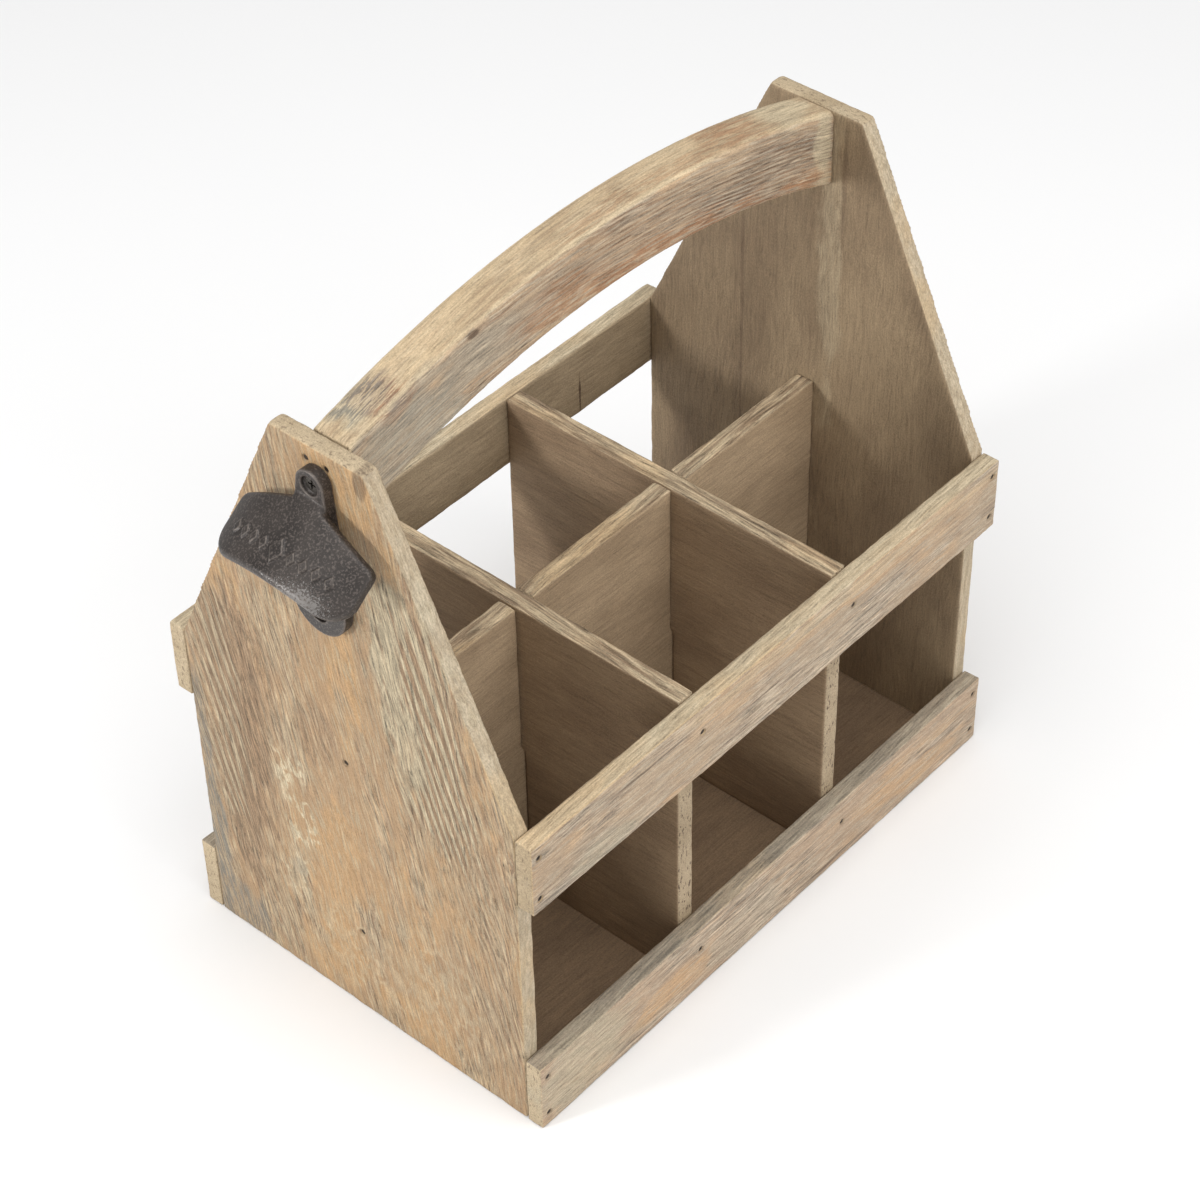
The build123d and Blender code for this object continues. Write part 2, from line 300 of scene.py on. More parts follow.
def blot(tree, centre, radii, ragged):
    """1 inside a ragged blot round a place and 0 outside it."""
    place = coordinate(tree, "Object")
    away = vector_calc(tree, "DIVIDE", vector_calc(tree, "SUBTRACT", place, centre), radii)
    away = plus(tree, vector_calc(tree, "LENGTH", away), ragged)
    return band(tree, away, blot_outside, blot_inside)


def marked(tree, marks, kind, field, ragged):
    """The field, raised in each mark of that kind to the mark's strength."""
    for found, centre, radii, strength in marks:
        if found == kind:
            mark = times(tree, blot(tree, centre, radii, ragged), strength)
            field = calc(tree, "MAXIMUM", field, mark)
    return field


# %% [markdown]
# ## The skins of a board
# One board shows up to four skins. The outer face is brushed, limed and sanded. The side that
# looks into the caddy is plain. Long edges are paler, and sawn ends show open pores. A normal
# in object space tells the shader which skin it is on, so one material serves a whole board.

# %% The outer face
def shaded(tree, skin, grain, contrast):
    """The skin with grit on it, and fibres that are darker or lighter by the contrast."""
    light = plus(tree, times(tree, grain["fine"], contrast), grain["grit"])
    return blend(tree, 1.0, skin, plus(tree, light, 1.0), "MULTIPLY")


def outer_face(tree, grain, tones, marks, ragged, lines):
    """Smooth sanded wood, and between it zones that are brushed into brown and limed stripes."""
    brushed_kinds = ("lime", "brown", "rings")
    spots = {kind: marked(tree, marks, kind, 0.0, ragged) for kind in brushed_kinds}
    darker = times(tree, band(tree, grain["streak"], 0.42, 0.64), 0.45)
    smooth = blend(tree, darker, tones["tan"], tones["brown"])
    glow = times(tree, band(tree, grain["cloud"], 0.47, 0.65), 0.6)
    smooth = blend(tree, marked(tree, marks, "glow", glow, ragged), smooth, tones["glow"])
    drops = times(tree, band(tree, grain["fleck"], 0.50, 0.64), 0.6)
    smooth = blend(tree, drops, smooth, tones["lime"])

    ground = blend(tree, band(tree, grain["streak"], 0.36, 0.64), tones["tan"], tones["brown"])
    ground = blend(tree, times(tree, spots["rings"], 0.8), ground, tones["deep"])
    ground = blend(tree, times(tree, spots["brown"], 0.8), ground, tones["deep"])
    calm = minus(tree, 1.0, calc(tree, "MAXIMUM", spots["rings"], spots["brown"]))
    calm = plus(tree, times(tree, calm, 0.5), 0.15)
    stripes = times(tree, band(tree, grain["fleck"], 0.43, 0.57), calm)
    lined = times(tree, band(tree, grain["patch"], 0.52, 0.62), 0.5)
    lined = calc(tree, "MAXIMUM", spots["rings"], lined)
    stripes = calc(tree, "MAXIMUM", stripes, times(tree, lines, lined))
    mass = times(tree, spots["lime"], band(tree, grain["streak"], 0.68, 0.50))
    stripes = times(tree, calc(tree, "MAXIMUM", stripes, mass), 0.9)
    brushed = blend(tree, stripes, ground, tones["lime"])
    zone = band(tree, grain["patch"], 0.47, 0.60)
    for spot in spots.values():
        zone = calc(tree, "MAXIMUM", zone, spot)
    contrast = plus(tree, times(tree, zone, 0.6), 0.4)
    return shaded(tree, blend(tree, zone, smooth, brushed), grain, contrast)


# %% [markdown]
# ## The other skins
# The inner side was never brushed, so it is one calm tone with faint lines. A long edge is paler
# than the face and takes a quarter of its colour from it, which hides the seam between them.

# %% The other skins
def plain_side(tree, grain, tones):
    """The smooth side that looks into the caddy."""
    calm = blend(tree, band(tree, grain["cloud"], 0.35, 0.65), tones["inner"], tones["inner_dark"])
    line = times(tree, band(tree, grain["streak"], 0.46, 0.34), 0.18)
    return shaded(tree, blend(tree, line, calm, tones["dark"]), grain, 0.3)


def long_edge(tree, grain, tones, face, contrast):
    """A long edge: paler than the face, with a trace of it."""
    edge = blend(tree, band(tree, grain["streak"], 0.40, 0.62), tones["edge"], tones["edge_dark"])
    warm = times(tree, band(tree, grain["cloud"], 0.50, 0.62), 0.5)
    edge = blend(tree, warm, edge, tones["sanded"])
    return blend(tree, 0.25, shaded(tree, edge, grain, contrast), face)


def sawn_end(tree, grain, tones, pits, pitted):
    """End grain with open pores."""
    end = blend(tree, band(tree, grain["cloud"], 0.35, 0.65), tones["end"], tones["end_dark"])
    end = blend(tree, times(tree, pits, pitted), end, tones["dark"])
    return shaded(tree, end, grain, 0.3)


# %% [markdown]
# ## Which skin shows where
# On the real board the skin changes where a saw or a plane cut it. The shader can tell this from
# the normal: it looks to the outside, to the inside, along the grain or across it. A material
# for each face would leave hard seams, so one material blends its skins by the normal.

# %% Where the surface looks
def facing_outside(tree, outside, sides):
    """1 on the outer face and -1 on the inner one, or alike on both for a handle or a divider."""
    normal = coordinate(tree, "Normal")
    facing = vector_calc(tree, "DOT_PRODUCT", normal, outside)
    if sides == "one":
        return facing
    facing = calc(tree, "ABSOLUTE", facing)
    return facing if sides == "both" else times(tree, facing, -1.0)


def facing_end(tree, order):
    """1 on the sawn ends, where the surface looks along the grain, and 0 elsewhere."""
    normal = coordinate(tree, "Normal")
    grain_way = [1.0 if letter == order[0] else 0.0 for letter in "XYZ"]
    along = calc(tree, "ABSOLUTE", vector_calc(tree, "DOT_PRODUCT", normal, grain_way))
    return band(tree, along, 0.55, 0.85)


# %% [markdown]
# ## What lies on top
# Lime in the hollows, rust brown stains, grey smudges and dark cracks lie over every skin. Each is
# broken up by the fibres, as on wood, and a scribble of lime follows the wavy contours of a
# noise. Edges that the sander or a hand wore down are bare, and the arris of each outer face is
# paler again, partly from wear and partly as a painted highlight. Each nail has bled a dark ring.

# %% Overlays
overlay_gaps = {"wash": 0.5, "pale": 0.3, "scribble": 0.6, "rust": 0.8, "smudge": 0.7, "dark": 0.2}


def contours(tree, straight, seed):
    """Thin wavy lines along the middle level of a noise."""
    swirl = noise(tree, straight, (70, 140, 140), seed + 12, 3.0)
    return band(tree, calc(tree, "ABSOLUTE", minus(tree, swirl, 0.5)), 0.07, 0.02)


def add_marks(tree, skin, grain, tones, marks, ragged, swirl):
    """The skin with its marks on it, each broken up by the fibres."""
    for kind, gap in overlay_gaps.items():
        spot = marked(tree, marks, kind, 0.0, ragged)
        if kind == "scribble":
            spot = times(tree, spot, swirl)
        gaps = times(tree, band(tree, grain["fleck"], 0.46, 0.54), gap)
        spot = times(tree, spot, minus(tree, 1.0, gaps))
        skin = blend(tree, spot, skin, shaded(tree, tones[kind], grain, 0.6))
    return skin


def add_wear_and_highlight(tree, skin, grain, tones, facing):
    """The skin with worn edges, a paler arris that is partly wear and partly painted highlight, and
    a dark stain round each nail.
    """
    # The arris round each outer face is paler: partly wear, partly a painted highlight
    arris = times(tree, band(tree, facing, 0.25, 0.55), band(tree, facing, 0.93, 0.70))
    worn = calc(tree, "MAXIMUM", band(tree, attribute(tree, "wear"), 0.25, 0.8), arris)
    worn = times(tree, worn, band(tree, grain["cloud"], 0.38, 0.54))
    # Bare sanded wood, which also serves as the painted highlight on each arris
    bare = shaded(tree, tones["sanded"], grain, 0.4)
    skin = blend(tree, times(tree, worn, 0.6), skin, bare)
    return blend(tree, attribute(tree, "nail_stain"), skin, tones["stain"])


# %% [markdown]
# ## One material for one board
# The skins are joined, the marks, the wear and the painted highlight of the arrises go on top, and
# the same fields of noise drive the relief, so that what is dark is also low. The fine relief is
# bump, because fibres of a tenth of a millimetre would need millions of faces; the worn edges
# further down are real shape.

# %% Relief
def relief(tree, grain, pits, ending, pitted):
    """A normal for the shader: fibres stand up, pores and the pits of sawn ends lie low."""
    height = plus(tree, grain["fibre"], times(tree, grain["speck"], 0.4))
    height = plus(tree, height, times(tree, grain["fleck"], 0.3))
    height = minus(tree, height, times(tree, grain["pores"], 0.6))
    end_pits = times(tree, times(tree, pits, ending), pitted)
    height = minus(tree, height, end_pits)
    inputs = {"Height": height, "Strength": 0.6, "Distance": 0.0004}
    return add_node(tree, "ShaderNodeBump", inputs).outputs[0]


# %% The wood material
def wood(
    name, order, pith, tilt, outside, tones, seed, marks=(), sides="one",
    rough_edges=0.6, pitted=0.5, wavy=0.4, lean=0.0, dense=rings_per_metre, bend=0.0,
):
    """Weathered wood for one board.

    order names the axes along, across and through the board. pith and tilt place its rings.
    outside is the way that its outer face looks. sides says how many sides are outer faces:
    one, both, or none, where both are plain. lean, dense and bend shape the lines of the grain.
    """
    material, tree, shader = new_material(name)
    straight = board_space(tree, order, pith, tilt, bend)
    grain = grain_fields(tree, straight, seed, wavy)
    ragged = noise(tree, straight, (45, 110, 110), seed + 8, 4.0)
    ragged = times(tree, minus(tree, ragged, 0.5), 2.2)
    pits = band(tree, noise(tree, straight, (700, 380, 1100), seed + 9, 2.0), 0.58, 0.66)
    lines = growth_lines(tree, straight, seed, lean, dense) if lean else grain["early"]

    facing, ending = facing_outside(tree, outside, sides), facing_end(tree, order)
    face = outer_face(tree, grain, tones, marks, ragged, lines)
    edge = long_edge(tree, grain, tones, face, rough_edges)
    skin = blend(tree, band(tree, facing, 0.55, 0.80), edge, face)
    skin = blend(tree, band(tree, facing, -0.55, -0.80), skin, plain_side(tree, grain, tones))
    skin = blend(tree, ending, skin, sawn_end(tree, grain, tones, pits, pitted))
    skin = add_marks(tree, skin, grain, tones, marks, ragged, contours(tree, straight, seed))
    tree.links.new(add_wear_and_highlight(tree, skin, grain, tones, facing), shader.inputs["Base Color"])

    tree.links.new(relief(tree, grain, pits, ending, pitted), shader.inputs["Normal"])
    gloss = plus(tree, times(tree, grain["fibre"], 0.2), 0.62)
    tree.links.new(gloss, shader.inputs["Roughness"])
    shader.inputs["Specular IOR Level"].default_value = 0.25
    return material


# %% [markdown]
# ## Colours of the boards
# All boards are the same kind of wood, but the end board is warmer, the rails are greyer and the
# dividers plainer. Each set of tones starts from the one before and names only what differs, so
# a change of the first set carries through. They were tuned with the render beside the photograph.

# %% Tones of the end boards
warm_tones = {
    "tan": colour(165, 137, 105),
    "brown": colour(144, 120, 96),
    "deep": colour(134, 110, 86),
    "glow": colour(176, 143, 104),
    "dark": colour(92, 74, 60),
    "stain": colour(62, 48, 38),
    "rust": colour(158, 120, 89),
    "lime": colour(172, 159, 133),
    "smudge": colour(124, 120, 110),
    "pale": colour(192, 177, 148),
    "wash": colour(178, 166, 142),
    "scribble": colour(192, 178, 150),
    "inner": colour(154, 134, 107),
    "inner_dark": colour(132, 113, 90),
    "edge": colour(190, 176, 152),
    "edge_dark": colour(174, 159, 134),
    "end": colour(184, 166, 138),
    "end_dark": colour(168, 149, 120),
    "sanded": colour(192, 166, 128),
}
print("tan in linear light:", np.round(warm_tones["tan"], 3))

# %% Tones of the rails
grey_tones = dict(
    warm_tones,
    tan=colour(174, 154, 130),
    brown=colour(152, 134, 116),
    glow=colour(188, 156, 122),
    lime=colour(182, 169, 149),
    inner=colour(180, 161, 133),
    inner_dark=colour(158, 140, 114),
    edge=colour(194, 179, 150),
    edge_dark=colour(178, 162, 133),
)
# The lower rails' tones: their long edges are painted darker as shade
lower_rail_tones_with_painted_shade = dict(
    grey_tones,
    tan=colour(180, 156, 131),
    edge=colour(168, 158, 139),
    edge_dark=colour(138, 128, 112),
    end=colour(192, 173, 143),
    end_dark=colour(176, 158, 130),
    sanded=colour(186, 164, 134),
)
print("rails' tan:", np.round(grey_tones["tan"], 3))

# %% Tones of the handle
handle_tones = dict(
    grey_tones,
    tan=colour(177, 153, 125),
    brown=colour(146, 121, 98),
    deep=colour(108, 84, 66),
    lime=colour(178, 166, 146),
    wash=colour(161, 150, 132),
    rust=colour(156, 118, 88),
    edge=colour(182, 161, 128),
    edge_dark=colour(163, 141, 112),
    sanded=colour(206, 187, 154),
)
print("handle's tan:", np.round(handle_tones["tan"], 3))

# %% Tones of the dividers and the floor
plain_tones = dict(
    warm_tones,
    inner=colour(158, 135, 108),
    inner_dark=colour(138, 116, 92),
    edge=colour(184, 167, 139),
    edge_dark=colour(130, 112, 91),
    end=colour(178, 159, 132),
    end_dark=colour(158, 140, 114),
)
long_tones = dict(plain_tones, inner=colour(176, 153, 124), inner_dark=colour(157, 135, 108))
rack_floor_tones = dict(plain_tones, inner=colour(136, 114, 90), inner_dark=colour(121, 101, 80))
print("dividers' side:", np.round(plain_tones["inner"], 3))

# %% [markdown]
# ## Weathering with Geometry Nodes
# Every board goes through the same small tree, so this is the place for Geometry Nodes. The
# tree blurs the positions of a finely divided board. A flat face stays where it is, but an edge
# sinks, and noise decides how far, which gives the soft and slightly chewed edges of old wood.
# How far each point sank is kept as an attribute, which the material uses for sanded edges.

# %% Sockets of the weathering tree
def new_weathering_group():
    """An empty node group with its inputs and its output."""
    group = bpy.data.node_groups.new("edge_weathering", "GeometryNodeTree")
    sockets = group.interface
    inputs = {"Geometry": "Geometry", "Edge Wear": "Float", "Seed": "Float", "Material": "Material"}
    for name, kind in inputs.items():
        sockets.new_socket(name, in_out="INPUT", socket_type="NodeSocket" + kind)
    sockets.new_socket("Geometry", in_out="OUTPUT", socket_type="NodeSocketGeometry")
    return group


def shown_socket(sockets, name):
    """The socket of that name that the node's settings leave in use."""
    return next(socket for socket in sockets if socket.enabled and socket.name == name)


def keep_at_points(group, geometry, name, value):
    """The geometry with a number kept at each of its points, as an attribute."""
    inputs = {"Geometry": geometry, "Name": name}
    kind = "GeometryNodeStoreNamedAttribute"
    stored = add_node(group, kind, inputs, data_type="FLOAT", domain="POINT")
    group.links.new(value, shown_socket(stored.inputs, "Value"))
    return stored.outputs[0]


# %% The weathering tree
blur_rounds = 3
lumps_per_metre = 140.0
full_wear = 0.0009
edge_begins = 0.00002
edge_is_full = 0.00010


def weathering_tree():
    """A node group that wears the edges of a finely divided mesh."""
    group = new_weathering_group()
    given = group.nodes.new("NodeGroupInput").outputs
    result = group.nodes.new("NodeGroupOutput").inputs

    position = group.nodes.new("GeometryNodeInputPosition").outputs[0]
    blur = add_node(group, "GeometryNodeBlurAttribute", {}, data_type="FLOAT_VECTOR")
    group.links.new(position, shown_socket(blur.inputs, "Value"))
    blur.inputs["Iterations"].default_value = blur_rounds
    sink = vector_calc(group, "SUBTRACT", shown_socket(blur.outputs, "Value"), position)
    depth = vector_calc(group, "LENGTH", sink)

    inputs = {"Vector": position, "W": given["Seed"], "Scale": lumps_per_metre, "Detail": 5.0}
    lumps = add_node(group, "ShaderNodeTexNoise", inputs, noise_dimensions="4D").outputs[0]
    amount = times(group, band(group, lumps, 0.30, 0.72), 1.5)
    amount = times(group, plus(group, amount, 0.15), given["Edge Wear"])
    inputs = {0: sink, "Scale": amount}
    offset = add_node(group, "ShaderNodeVectorMath", inputs, operation="SCALE").outputs[0]

    wear = band(group, times(group, depth, amount), 0.0, full_wear)
    kept = keep_at_points(group, given["Geometry"], "wear", wear)
    normal = group.nodes.new("GeometryNodeInputNormal").outputs[0]
    inward = times(group, vector_calc(group, "DOT_PRODUCT", sink, normal), -1.0)
    outer = band(group, inward, edge_begins, edge_is_full)
    kept = keep_at_points(group, kept, "outer_edge", outer)
    moved = add_node(group, "GeometryNodeSetPosition", {"Geometry": kept, "Offset": offset})
    real = add_node(group, "GeometryNodeRealizeInstances", {"Geometry": moved.outputs[0]})
    inputs = {"Geometry": real.outputs[0], "Material": given["Material"]}
    dressed = add_node(group, "GeometryNodeSetMaterial", inputs)
    group.links.new(dressed.outputs[0], result["Geometry"])
    return group


edge_weathering = weathering_tree()
print("weathering tree nodes:", len(edge_weathering.nodes))

# %% [markdown]
# ## From outline to worn board
# A board starts as a flat outline that is pulled to its thickness. The Remesh modifier divides
# it into even small squares, the tree above wears it, and the result is kept as a plain mesh.
# Last, every point is held inside the box of the CAD node that the board stands for.

# %% A solid from an outline
def outline_mesh(name, outline, axis, low, high):
    """A closed solid: a flat outline across the axis, pulled from low to high along it."""
    across = [i for i in range(3) if i != axis]
    made = bmesh.new()
    for level in (low, high):
        for point in outline:
            corner = [0.0, 0.0, 0.0]
            corner[across[0]], corner[across[1]], corner[axis] = *point, level
            made.verts.new(corner)
    made.verts.ensure_lookup_table()
    count = len(outline)
    made.faces.new(made.verts[:count])
    made.faces.new(made.verts[count:])
    for i in range(count):
        j = (i + 1) % count
        made.faces.new([made.verts[k] for k in (i, j, count + j, count + i)])
    bmesh.ops.recalc_face_normals(made, faces=made.faces)
    mesh = bpy.data.meshes.new(name)
    made.to_mesh(mesh)
    made.free()
    return mesh


# %% Fineness and wear
# The side of the small squares in metres, and how strongly the edges are worn
fineness_and_wear = {
    "end board": (0.0010, 0.6),
    "rail": (0.0009, 0.6),
    "long divider": (0.0014, 0.5),
    "cross divider": (0.0010, 0.45),
    "floor board": (0.0014, 0.3),
    "handle": (0.0009, 0.4),
    "opener": (0.00038, 0.12),
}
print("finest squares:", min(fineness_and_wear.values())[0], "m")


# %% Weather a piece
def bake_modifiers(piece):
    """Keep what the modifiers show as a plain mesh, and remove them."""
    depsgraph = bpy.context.evaluated_depsgraph_get()
    mesh = bpy.data.meshes.new_from_object(piece.evaluated_get(depsgraph))
    piece.modifiers.clear()
    piece.data = mesh
    mesh.name = piece.name


def weather(piece, material, kind, seed):
    """Divide a piece finely, wear its edges and give it its material."""
    voxel, wear = fineness_and_wear[kind]
    remesh = piece.modifiers.new("divide", "REMESH")
    remesh.mode = "VOXEL"
    remesh.voxel_size = voxel
    worn = piece.modifiers.new("wear", "NODES")
    worn.node_group = edge_weathering
    sockets = edge_weathering.interface.items_tree
    inputs = {item.name: item.identifier for item in sockets if item.in_out == "INPUT"}
    worn[inputs["Edge Wear"]] = wear
    worn[inputs["Seed"]] = seed
    worn[inputs["Material"]] = material
    bake_modifiers(piece)
    piece.data.shade_smooth()


# %% Inside the CAD node's box
def read_points(mesh):
    """The places of a mesh's points, one in each row."""
    points = np.empty(len(mesh.vertices) * 3)
    mesh.vertices.foreach_get("co", points)
    return points.reshape(-1, 3)


def hold_inside(mesh, node):
    """Move points that stand out of a CAD node's box back onto it."""
    low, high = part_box(node)
    points = np.clip(read_points(mesh), low, high)
    mesh.vertices.foreach_set("co", points.ravel())
    mesh.update()


# %% [markdown]
# ## Nails under the surface
# Each nail was punched a little under the surface, and iron has bled into the wood round it. A
# boolean could cut the pits, but it leaves long thin faces on a mesh as fine as this one. So the
# faces over a nail are divided once more and their points are pushed down. The stain is kept as
# an attribute, which the material reads.

# %% Where the nails are
nail_gap = 0.003


def nail_places(node, axis):
    """The middles of a group's nails, as seen along the axis."""
    points = np.delete(read_points(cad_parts[node].data), axis, axis=1)
    places = []
    while len(points):
        near = np.linalg.norm(points - points[0], axis=1) < nail_gap
        places.append((points[near].min(axis=0) + points[near].max(axis=0)) / 2)
        points = points[~near]
    return places


# %% Punch the nails
pit_radius = 0.00115
pit_slope = 0.0004
pit_depth = 0.00062
surface_depth = 0.0008
divided_reach = 0.003
stain_reach = 0.005
stain_spread = 0.0013
stain_strength = 0.75


def punch_nails(mesh, brads, axis, side):
    """Sink a small pit over each nail in the face that looks to that side, and stain round it."""
    made = bmesh.new()
    made.from_mesh(mesh)
    across = [i for i in range(3) if i != axis]
    level = max(side * vertex.co[axis] for vertex in made.verts) - surface_depth
    stain = made.verts.layers.float.get("nail_stain") or made.verts.layers.float.new("nail_stain")
    for place in nail_places(brads, axis):
        def gap(point):
            return math.hypot(point[across[0]] - place[0], point[across[1]] - place[1])

        edges = set()
        for face in made.faces:
            middle = face.calc_center_median()
            if gap(middle) < divided_reach and side * middle[axis] > level:
                edges.update(face.edges)
        bmesh.ops.subdivide_edges(made, edges=list(edges), cuts=3, use_grid_fill=True)
        for vertex in made.verts:
            away = gap(vertex.co)
            if away < stain_reach and side * vertex.co[axis] > level:
                shape = min(max((pit_radius + pit_slope - away) / pit_slope, 0.0), 1.0)
                vertex.co[axis] -= side * pit_depth * shape
                bled = stain_strength * math.exp(-((away / stain_spread) ** 2))
                vertex[stain] = max(vertex[stain], bled)
    made.to_mesh(mesh)
    made.free()


# %% One worn board
def make_board(node, outline, axis, material, kind, seed, nails=()):
    """A worn board in place of a CAD node, with a pit over each of its nails.

    The outline lies across the axis. nails holds the node of the brads, their axis and the side
    that they are driven from.
    """
    low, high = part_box(node)
    mesh = outline_mesh("worn_" + node, outline, axis, low[axis], high[axis])
    piece = bpy.data.objects.new("worn_" + node, mesh)
    scene.collection.objects.link(piece)
    weather(piece, material, kind, seed)
    hold_inside(piece.data, node)
    for brads, nail_axis, side in nails:
        punch_nails(piece.data, brads, nail_axis, side)
    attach(piece, "root")
    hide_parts(node)
    print(piece.name, len(piece.data.polygons), "faces")


# %% [markdown]
# ## End boards
# Each end board is a rectangle up to the top of the rack and then slopes in to a narrow top.
# Its grain stands upright. The outer face is the warmest wood of the caddy, sanded to tan. An
# outline of six points says all of its shape, so it is drawn here and not copied from the CAD.

# %% Marks on a flat face
def on_face(axis, level, depth, rows):
    """Marks on a face across the axis: a kind, two places, two half sizes and a strength each."""
    marks = []
    for kind, first, second, wide, tall, strength in rows:
        place, size = [first, second], [wide, tall]
        place.insert(axis, level)
        size.insert(axis, depth)
        marks.append((kind, tuple(place), tuple(size), strength))
    return marks


# %% Marks of the end boards
near_face, far_inside, far_face = -0.135, 0.1274, 0.135
panel_marks = {
    "end_panel_opener_side": on_face(0, near_face, 0.01, [
        ("rings", -0.036, 0.200, 0.020, 0.046, 1.0),
        ("rings", -0.048, 0.155, 0.019, 0.042, 1.0),
        ("rings", -0.058, 0.112, 0.014, 0.030, 0.6),
        ("rings", -0.068, 0.045, 0.010, 0.040, 0.4),
        ("lime", -0.024, 0.198, 0.008, 0.030, 1.0),
        ("lime", -0.033, 0.160, 0.006, 0.020, 0.9),
        ("lime", -0.030, 0.225, 0.006, 0.016, 0.8),
        ("scribble", 0.032, 0.112, 0.008, 0.014, 1.0),
        ("scribble", 0.028, 0.084, 0.008, 0.018, 1.0),
        ("scribble", 0.034, 0.052, 0.007, 0.014, 0.8),
        ("scribble", 0.000, 0.030, 0.030, 0.020, 0.4),
        ("scribble", -0.040, 0.040, 0.024, 0.030, 0.4),
        ("rings", 0.066, 0.120, 0.012, 0.060, 0.7),
        ("glow", -0.003, 0.175, 0.007, 0.030, 1.0),
        ("glow", -0.062, 0.178, 0.003, 0.012, 1.0),
        ("glow", -0.073, 0.155, 0.003, 0.014, 1.0),
        ("glow", 0.018, 0.028, 0.020, 0.022, 0.9),
        ("glow", -0.024, 0.008, 0.022, 0.012, 0.9),
        ("glow", -0.008, 0.266, 0.016, 0.014, 1.0),
        ("glow", -0.030, 0.236, 0.006, 0.020, 0.9),
        ("glow", 0.055, 0.186, 0.008, 0.016, 0.8),
        ("glow", 0.008, 0.075, 0.014, 0.028, 0.8),
        ("glow", -0.030, 0.080, 0.012, 0.024, 0.7),
        # These two brown marks darken the rear part of the face
        ("brown", 0.058, 0.115, 0.018, 0.070, 1.0),
        ("brown", 0.060, 0.060, 0.012, 0.030, 0.9),
        ("brown", 0.014, 0.140, 0.010, 0.018, 0.6),
        ("brown", 0.040, 0.140, 0.008, 0.030, 0.7),
        ("smudge", 0.078, 0.046, 0.006, 0.040, 0.9),
        ("smudge", 0.068, 0.010, 0.016, 0.016, 0.8),
        ("smudge", 0.078, 0.105, 0.003, 0.030, 0.7),
        ("smudge", 0.032, 0.058, 0.003, 0.004, 0.4),
        ("dark", -0.0200, 0.2740, 0.0025, 0.0050, 0.6),
    ]),
    "end_panel_far_side": on_face(0, far_inside, 0.004, [
        ("dark", 0.0330, 0.165, 0.0009, 0.055, 0.5),
        ("dark", -0.0150, 0.250, 0.0012, 0.022, 0.4),
        # A wide, faint dark patch over the rear part of the inside, not a crack
        ("dark", 0.0560, 0.160, 0.0240, 0.080, 0.25),
        ("pale", -0.0100, 0.210, 0.0050, 0.070, 0.35),
    ]) + on_face(0, far_face, 0.004, [
        ("glow", 0.030, 0.200, 0.014, 0.050, 0.8),
        ("smudge", -0.060, 0.030, 0.020, 0.020, 0.5),
    ]),
}
print("marks:", {node: len(marks) for node, marks in panel_marks.items()})

# %% Make the end boards
rack_height = 0.150
top_half_width = 0.0217
ends = {
    "end_panel_opener_side": (-1, 3.0, (0.01, 0.165), (0.035, -0.20), "opener_side_panel_brads"),
    "end_panel_far_side": (1, 11.0, (-0.02, -0.10), (0.04, 0.03), "far_side_panel_brads"),
}
for node, (side, seed, pith, tilt, brads) in ends.items():
    low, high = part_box(node)
    outline = [
        (low[1], low[2]),
        (high[1], low[2]),
        (high[1], rack_height),
        (top_half_width, high[2]),
        (-top_half_width, high[2]),
        (low[1], rack_height),
    ]
    grain = wood(
        "limed_" + node, "ZYX", pith, tilt, (side, 0, 0), warm_tones, seed, panel_marks[node],
        rough_edges=0.3, wavy=0.8, lean=-0.10,
    )
    make_board(node, outline, 0, grain, "end board", seed, [(brads, 0, side)])

# %% [markdown]
# ## Rails
# Four slats are nailed on the edges of the end boards. Their grain runs along the caddy, and
# they are greyer than the ends. They are plain bars, so the CAD node's own box is the outline.

# %% Marks of the rails
front_face, lower_rail_top, rear_inside, rear_face = -0.0893, -0.0854, 0.0815, 0.0893
rail_marks = {
    "front_upper_rail": on_face(1, front_face, 0.01, [
        ("glow", -0.069, 0.1175, 0.035, 0.002, 0.9),
        ("glow", 0.050, 0.1450, 0.085, 0.005, 0.7),
        ("pale", 0.050, 0.1455, 0.085, 0.003, 0.4),
        ("wash", -0.100, 0.1220, 0.018, 0.006, 0.7),
        ("smudge", -0.110, 0.1240, 0.026, 0.009, 0.3),
        ("smudge", -0.126, 0.1360, 0.009, 0.008, 0.3),
    ]) + on_face(1, front_face, 0.004, [
        ("dark", -0.075, 0.1425, 0.020, 0.0006, 0.6),
        ("dark", -0.010, 0.1310, 0.016, 0.0005, 0.5),
    ]),
    "front_lower_rail": on_face(1, front_face, 0.01, [
        ("glow", -0.059, 0.0130, 0.024, 0.007, 1.0),
        ("glow", -0.103, 0.0080, 0.016, 0.005, 0.9),
        ("glow", 0.092, 0.0170, 0.034, 0.011, 0.8),
        ("wash", -0.112, 0.0190, 0.026, 0.016, 0.8),
        ("lime", -0.018, 0.0120, 0.022, 0.010, 0.8),
    ]) + on_face(1, front_face, 0.004, [
        ("dark", 0.046, 0.0035, 0.020, 0.0010, 0.6),
    ]) + on_face(1, lower_rail_top, 0.004, [
        ("smudge", -0.060, 0.0333, 0.060, 0.003, 0.45),
        ("smudge", 0.040, 0.0333, 0.050, 0.003, 0.35),
    ]),
    "rear_upper_rail": on_face(1, rear_inside, 0.004, [
        ("dark", 0.0833, 0.1260, 0.0006, 0.0090, 0.9),
    ]),
    "rear_lower_rail": on_face(1, rear_face, 0.01, [
        ("glow", 0.050, 0.015, 0.030, 0.008, 0.9),
    ]),
}
print("marks:", {node: len(marks) for node, marks in rail_marks.items()})

# %% Make the rails
def box_outline(node, axis):
    """The rectangle of a CAD node's box, seen along the axis."""
    (left, bottom), (right, top) = (np.delete(corner, axis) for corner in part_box(node))
    return [(left, bottom), (right, bottom), (right, top), (left, top)]


